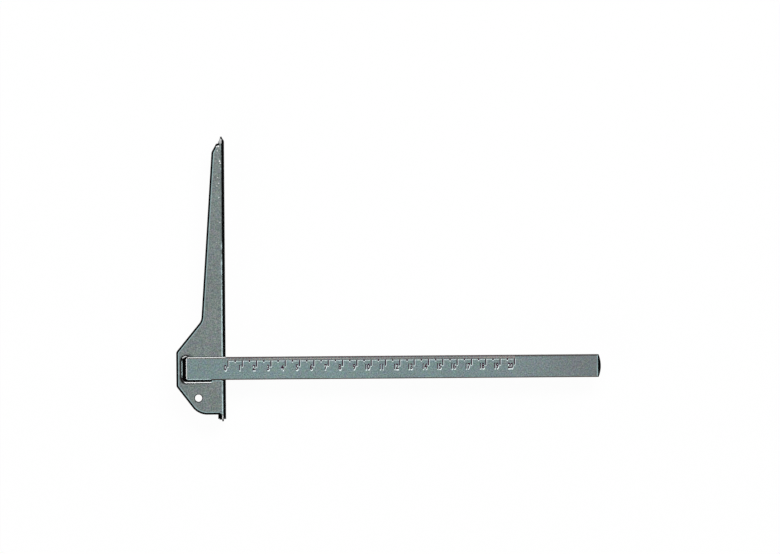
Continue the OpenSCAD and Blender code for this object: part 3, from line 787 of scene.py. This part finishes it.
class TSQUARE_OT_scale(bpy.types.Operator):
    """Make the engraved scale: marks that run over the blade's edge, their painted highlights, and the
    figures
    """
    bl_idname = "tsquare.scale"
    bl_label = "Scale"
    bl_options = {"REGISTER", "UNDO"}

    def execute(self, context):
        size = sizes()
        thin, bold, mark_highlight_patches = bmesh.new(), bmesh.new(), bmesh.new()
        side = size.burr * SIDE_HIGHLIGHT
        # Beside each mark, a pale patch is laid as the painted highlight on the engraving's lit wall.
        for step in range(size.divisions + 1):
            x = size.zero_x + step * MM
            self.add_mark(thin, x, size.mark_w, size.mark_mm)
            if step % 10 == 0:
                self.add_patch(bold, x, size.mark_long_w, size.mark_mm, size.mark_cm)
                self.add_patch(mark_highlight_patches, x + (size.mark_long_w + side) / 2, side, size.mark_mm, size.mark_cm)
                self.add_patch(mark_highlight_patches, x, size.mark_long_w, size.mark_cm, size.mark_cm + size.burr)
            elif step % 5 == 0:
                self.add_patch(bold, x, size.mark_long_w, size.mark_mm - size.burr, size.mark_half)
                self.add_patch(mark_highlight_patches, x, size.mark_long_w, size.mark_half, size.mark_half + size.burr)
            else:
                self.add_patch(mark_highlight_patches, x, size.burr, size.mark_mm, size.mark_mm + size.burr)
        lacquer = scale_lacquer("Dark scale lacquer", colour_of("lacquer"))
        shoulder = rubbed_enamel("Bright engraved shoulder", colour_of("shoulder"))
        wiped = scale_lacquer("Thin scale lacquer", colour_of("thin_lacquer"), colour_of("rubbed_lacquer"))
        for bm, name, material in ((thin, "millimetre_marks", wiped), (bold, "long_marks", lacquer),
                                   (mark_highlight_patches, "mark_shoulders", shoulder)):
            bmesh.ops.solidify(bm, geom=bm.faces[:], thickness=size.ink * MARK_THICK)
            bmesh.ops.recalc_face_normals(bm, faces=bm.faces)
            make_piece(bm, name, [material], weighted=False)
        self.add_figures("scale_figures", (0.0, 0.0), size.ink, lacquer)
        # A pale copy of the figures, shifted down and to the right, is their painted highlight.
        self.add_figures("figure_shoulders", FIGURE_HIGHLIGHT, size.ink * 0.5, shoulder)
        return {"FINISHED"}

    def add_patch(self, bm, x, width, near, far):
        """A flat patch on the face, between two distances from the blade's edge."""
        place = Matrix.Translation((x, BLADE_HIGH.y - (near + far) / 2, BLADE_HIGH.z + sizes().ink))
        bmesh.ops.create_grid(bm, x_segments=1, y_segments=1, size=0.5,
                              matrix=place @ Matrix.Diagonal((width, far - near, 1.0, 1.0)))

    def add_mark(self, bm, x, width, reach):
        """One mark: a strip on the face that bends down over the blade's rounded edge."""
        size = sizes()
        edge_y, face_z = BLADE_HIGH.y, BLADE_HIGH.z
        bend_y = edge_y - size.corner_r
        ends = [bm.verts.new((x + half * width / 2, edge_y - reach, face_z + size.ink)) for half in (-1, 1)]
        run = bmesh.ops.extrude_edge_only(bm, edges=[bm.edges.new(ends)])["geom"]
        far = [item for item in run if isinstance(item, bmesh.types.BMVert)]
        bmesh.ops.translate(bm, verts=far, vec=(0, bend_y - (edge_y - reach), 0))
        last = [item for item in run
                if isinstance(item, bmesh.types.BMEdge) and all(v in far for v in item.verts)]
        bmesh.ops.spin(bm, geom=far + last, cent=(x, bend_y, face_z - size.corner_r), axis=(-1, 0, 0),
                       dvec=(0, 0, 0), angle=MARK_TURN, steps=4, use_merge=False)

    def add_figures(self, name, shift, lift, material):
        """The figures of all centimetres as one piece, each left of its mark."""
        size = sizes()
        bm = bmesh.new()
        narrow = Matrix.Diagonal((FIGURE_NARROW, 1.0, 1.0, 1.0))
        for number in range(size.divisions // 10 + 1):
            curve = bpy.data.curves.new("figure", "FONT")
            curve.body = str(number)
            curve.size = size.figure_h / FIGURE_SHARE
            curve.align_x, curve.align_y = "RIGHT", "CENTER"
            curve.extrude = lift
            curve.offset = FIGURE_BOLD
            curve.resolution_u = 4
            text = bpy.data.objects.new("figure", curve)
            bpy.context.scene.collection.objects.link(text)
            bpy.context.view_layer.update()
            seen = text.evaluated_get(bpy.context.evaluated_depsgraph_get())
            drawn = bpy.data.meshes.new_from_object(seen)
            x = size.zero_x + number * 10 * MM - size.mark_long_w / 2 - size.figure_gap
            place = Matrix.Translation((x + shift[0], size.figure_y + shift[1], BLADE_HIGH.z))
            drawn.transform(place @ narrow)
            bm.from_mesh(drawn)
            bpy.data.objects.remove(text)
            bpy.data.curves.remove(curve)
            bpy.data.meshes.remove(drawn)
        bmesh.ops.remove_doubles(bm, verts=bm.verts, dist=SAME)
        # Where the thickened strokes meet, the outline crosses itself and leaves empty triangles behind.
        bmesh.ops.collapse(bm, edges=[e for e in bm.edges if len(e.link_faces) > 2])
        loose = [f for f in bm.faces if sum(e.is_boundary for e in f.edges) > 1]
        bmesh.ops.delete(bm, geom=loose, context="FACES")
        bmesh.ops.delete(bm, geom=[v for v in bm.verts if not v.link_faces], context="VERTS")
        empty = [f for f in bm.faces if f.calc_area() < 1e-7 * MM * MM]
        longest = dict.fromkeys(max(f.edges, key=lambda edge: edge.calc_length()) for f in empty)
        bmesh.ops.dissolve_edges(bm, edges=list(longest))
        make_piece(bm, name, [material], weighted=False)


class TSQUARE_OT_plug(bpy.types.Operator):
    """Make the domed plug in the blade's end"""
    bl_idname = "tsquare.plug"
    bl_label = "Tail plug"
    bl_options = {"REGISTER", "UNDO"}

    def execute(self, context):
        bm = node_copy("tail_plug")
        rim = sharp_edges(bm, lambda place: place.x > PLUG_RIM)
        round_edges(bm, rim, sizes().plastic_round, 3, clamp=False)
        piece = make_piece(bm, "plug", [black_plastic("Black moulded polyamide", (1.0, 1.0, 0.3))])
        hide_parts("tail_plug")
        return {"FINISHED"}


class TSQUARE_OT_rivets(bpy.types.Operator):
    """Finish the four set rivets under the pocket"""
    bl_idname = "tsquare.rivets"
    bl_label = "Rivets"
    bl_options = {"REGISTER", "UNDO"}

    def execute(self, context):
        finishes = {"rivet_bodies": plain_metal("Drawn aluminium", colour_of("rivet"), 0.38, 0.3),
                    "rivet_mandrels": plain_metal("Broken mandrel steel", colour_of("mandrel"), 0.5, 0.2)}
        for node, material in finishes.items():
            mesh = frame["nodes"][node].data
            mesh.materials.clear()
            mesh.materials.append(material)
        return {"FINISHED"}


class TSQUARE_OT_stage(bpy.types.Operator):
    """Make the white floor, the lamps and the camera"""
    bl_idname = "tsquare.stage"
    bl_label = "Stage"
    bl_options = {"REGISTER", "UNDO"}

    def execute(self, context):
        scene = context.scene
        scene.view_settings.view_transform = "Standard"
        bm = bmesh.new()
        bmesh.ops.create_grid(bm, x_segments=1, y_segments=1, size=FLOOR_SIZE)
        # A hair below the guard, so that the two faces don't show through each other.
        bmesh.ops.translate(bm, verts=bm.verts, vec=(*FLOOR_PLACE, GUARD_LOW.z - SLACK))
        mesh = bpy.data.meshes.new("floor")
        bm.to_mesh(mesh)
        bm.free()
        floor = bpy.data.objects.new("floor", mesh)
        scene.collection.objects.link(floor)
        mesh.materials.append(studio_floor("White paper floor", colour_of("floor")))

        world = bpy.data.worlds.new("Studio")
        world.use_nodes = True
        world.node_tree.nodes["Background"].inputs["Color"].default_value = (1, 1, 1, 1)
        world.node_tree.nodes["Background"].inputs["Strength"].default_value = WORLD_LIGHT
        scene.world = world
        for name, offset, span, power in LAMPS:
            self.add_lamp(name, LAMP_AIM + Vector(offset), span, power)

        camera = bpy.data.cameras.new("Camera")
        camera.sensor_width = SENSOR
        camera.lens = SENSOR * VIEW_REACH / VIEW_WIDTH
        camera.dof.use_dof = False
        camera.clip_end = 20.0
        view = bpy.data.objects.new("Camera", camera)
        view.location = (VIEW_X, VIEW_Y, BLADE_HIGH.z + VIEW_REACH)
        view.rotation_euler = (0.0, 0.0, VIEW_ROLL)
        scene.collection.objects.link(view)
        scene.camera = view
        return {"FINISHED"}

    def add_lamp(self, name, place, span, power):
        light = bpy.data.lights.new(name, "AREA")
        light.shape = "RECTANGLE"
        light.size, light.size_y = span
        light.energy = power
        lamp = bpy.data.objects.new(name, light)
        lamp.location = place
        lamp.rotation_euler = (LAMP_AIM - place).to_track_quat("-Z", "Y").to_euler()
        bpy.context.scene.collection.objects.link(lamp)


STEPS = (TSQUARE_OT_head, TSQUARE_OT_chips, TSQUARE_OT_guard, TSQUARE_OT_blade, TSQUARE_OT_scale,
         TSQUARE_OT_plug, TSQUARE_OT_rivets, TSQUARE_OT_stage)


class TSQUARE_PT_panel(bpy.types.Panel):
    """T square pieces and their sizes and colours"""
    bl_idname = "TSQUARE_PT_panel"
    bl_label = "T Square"
    bl_space_type = "VIEW_3D"
    bl_region_type = "UI"
    bl_category = "T Square"

    def draw(self, context):
        for step in STEPS:
            self.layout.operator(step.bl_idname)
        for group in (context.scene.tsquare_sizes, context.scene.tsquare_colours):
            box = self.layout.box()
            for key in group.__annotations__:
                box.prop(group, key)


CLASSES = (TSQUARE_PG_sizes, TSQUARE_PG_colours) + STEPS + (TSQUARE_PT_panel,)


def register():
    for cls in CLASSES:
        bpy.utils.register_class(cls)
    bpy.types.Scene.tsquare_sizes = PointerProperty(type=TSQUARE_PG_sizes)
    bpy.types.Scene.tsquare_colours = PointerProperty(type=TSQUARE_PG_colours)


def unregister():
    del bpy.types.Scene.tsquare_colours
    del bpy.types.Scene.tsquare_sizes
    for cls in reversed(CLASSES):
        bpy.utils.unregister_class(cls)


def main():
    register()
    bpy.ops.tsquare.head()
    bpy.ops.tsquare.chips()
    bpy.ops.tsquare.guard()
    bpy.ops.tsquare.blade()
    bpy.ops.tsquare.scale()
    bpy.ops.tsquare.plug()
    bpy.ops.tsquare.rivets()
    bpy.ops.tsquare.stage()


if __name__ == "__main__":
    main()
